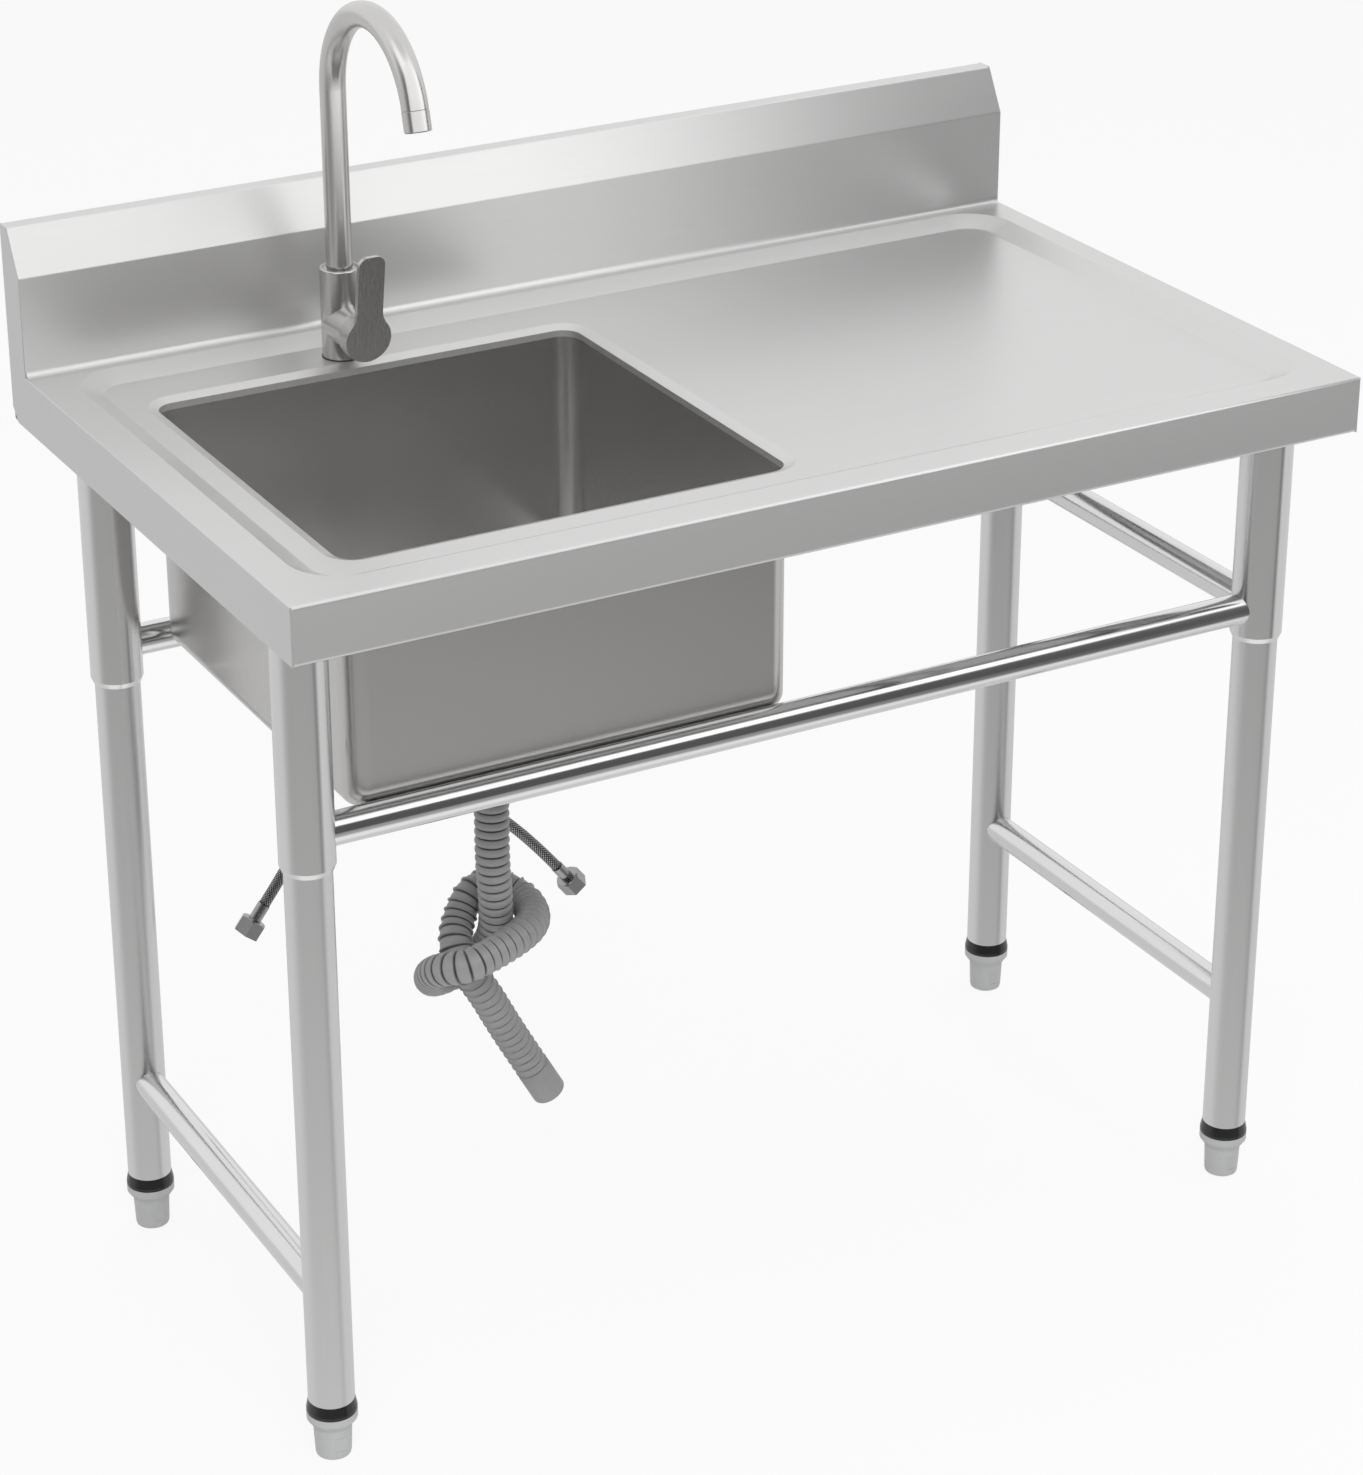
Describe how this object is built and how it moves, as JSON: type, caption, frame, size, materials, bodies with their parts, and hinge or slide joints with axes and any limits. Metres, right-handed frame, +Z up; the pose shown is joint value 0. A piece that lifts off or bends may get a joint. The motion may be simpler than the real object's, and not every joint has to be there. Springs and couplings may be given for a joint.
{
  "type": "kitchen sink unit",
  "caption": "Free-standing stainless sink unit: pressed worktop with splash and bowl, tube legs with rails, single-lever tap with swan neck, knotted waste hose and supply hoses.",
  "frame": {"origin": "on the floor, below the middle of the worktop", "axes": "+X along the worktop to the right, +Y to the wall, +Z up; front towards -Y"},
  "size_m": [1, 0.6, 1.1462],
  "materials": {
    "sheet_steel": "satin brushed stainless sheet",
    "tube_steel": "drawn stainless tube, satin",
    "fixing_steel": "plain steel",
    "tap_chrome": "polished",
    "nut_plate": "nickel plated",
    "foot_metal": "turned, satin",
    "insert_plastic": "matte black",
    "hose_plastic": "semi-gloss grey",
    "cuff_rubber": "smooth grey",
    "supply_braid": "braided steel",
    "seal_rubber": "matte black",
    "drain_plastic": "matte white",
    "cartridge_plastic": "matte",
    "brass": "plain"
  },
  "bodies": {
    "unit": {"worktop": "sheet_steel", "end_plate_left": "sheet_steel", "end_plate_right": "sheet_steel", "rear_channel": "sheet_steel", "side_channel_left": "sheet_steel", "side_channel_right": "sheet_steel", "mid_channel": "sheet_steel", "bowl": "sheet_steel", "leg_plates": "fixing_steel", "leg_plate_bolts": "fixing_steel", "clamp_screws": "fixing_steel", "leg_sleeve_front_left": "tube_steel", "lower_leg_front_left": "tube_steel", "foot_insert_front_left": "insert_plastic", "leg_sleeve_back_left": "tube_steel", "lower_leg_back_left": "tube_steel", "foot_insert_back_left": "insert_plastic", "leg_sleeve_front_right": "tube_steel", "lower_leg_front_right": "tube_steel", "foot_insert_front_right": "insert_plastic", "leg_sleeve_back_right": "tube_steel", "lower_leg_back_right": "tube_steel", "foot_insert_back_right": "insert_plastic", "front_rail": "tube_steel", "back_rail": "tube_steel", "right_rail": "tube_steel", "lower_left_rail": "tube_steel", "lower_right_rail": "tube_steel", "strainer_body": "sheet_steel", "basket_rest": "sheet_steel", "strainer_gasket": "seal_rubber", "strainer_locknut": "drain_plastic", "drain_tailpiece": "drain_plastic", "drain_slip_nut": "drain_plastic", "waste_hose": "hose_plastic", "waste_hose_cuffs": "cuff_rubber", "tap_body": "tap_chrome", "cartridge_dome": "tap_chrome", "spout_bush": "tap_chrome", "tap_shank": "brass", "tap_gasket": "seal_rubber", "tap_washer": "fixing_steel", "tap_nut": "brass", "cartridge": "cartridge_plastic", "supply_hose_left": "supply_braid", "supply_hose_right": "supply_braid", "hose_ferrules": "nut_plate", "hose_tails": "brass"},
    "swan_neck": {"spout": "tap_chrome", "aerator": "tap_chrome"},
    "mixer_carrier": {"cartridge_carrier": "brass"},
    "tap_lever": {"lever": "tap_chrome", "lever_stem": "brass"},
    "basket": {"strainer_basket": "sheet_steel"},
    "loose_nut_left": {"union_nut_left": "nut_plate"},
    "loose_nut_right": {"union_nut_right": "nut_plate"},
    "foot_front_left_body": {"foot_front_left": "foot_metal"},
    "foot_back_left_body": {"foot_back_left": "foot_metal"},
    "foot_front_right_body": {"foot_front_right": "foot_metal"},
    "foot_back_right_body": {"foot_back_right": "foot_metal"}
  },
  "joints": [
    {"name": "spout_swivel", "type": "hinge", "parent": "unit", "child": "swan_neck", "pos_m": [-0.226, 0.204, 0.9], "axis": [0, 0, 1], "continuous": true},
    {"name": "lever_mix", "type": "hinge", "parent": "unit", "child": "mixer_carrier", "pos_m": [-0.226, 0.171, 0.8426], "axis": [0, 1, 0], "range_deg": [-45, 45]},
    {"name": "lever_flow", "type": "hinge", "parent": "mixer_carrier", "child": "tap_lever", "pos_m": [-0.226, 0.171, 0.8426], "axis": [1, 0, 0], "range_deg": [0, 25]},
    {"name": "basket_lift", "type": "slide", "parent": "unit", "child": "basket", "axis": [0, 0, 1], "range_m": [0, 0.06]},
    {"name": "nut_left_spin", "type": "hinge", "parent": "unit", "child": "loose_nut_left", "pos_m": [-0.33234, 0.215, 0.26951], "axis": [-0.6084, 0, -0.7936], "continuous": true},
    {"name": "nut_right_spin", "type": "hinge", "parent": "unit", "child": "loose_nut_right", "pos_m": [-0.00634, 0.215, 0.2316], "axis": [0.6153, 0, -0.7883], "continuous": true},
    {"name": "foot_slide_front_left", "type": "slide", "parent": "unit", "child": "foot_front_left_body", "axis": [0, 0, -1], "range_m": [0, 0.02]},
    {"name": "foot_slide_back_left", "type": "slide", "parent": "unit", "child": "foot_back_left_body", "axis": [0, 0, -1], "range_m": [0, 0.02]},
    {"name": "foot_slide_front_right", "type": "slide", "parent": "unit", "child": "foot_front_right_body", "axis": [0, 0, -1], "range_m": [0, 0.02]},
    {"name": "foot_slide_back_right", "type": "slide", "parent": "unit", "child": "foot_back_right_body", "axis": [0, 0, -1], "range_m": [0, 0.02]}
  ]
}
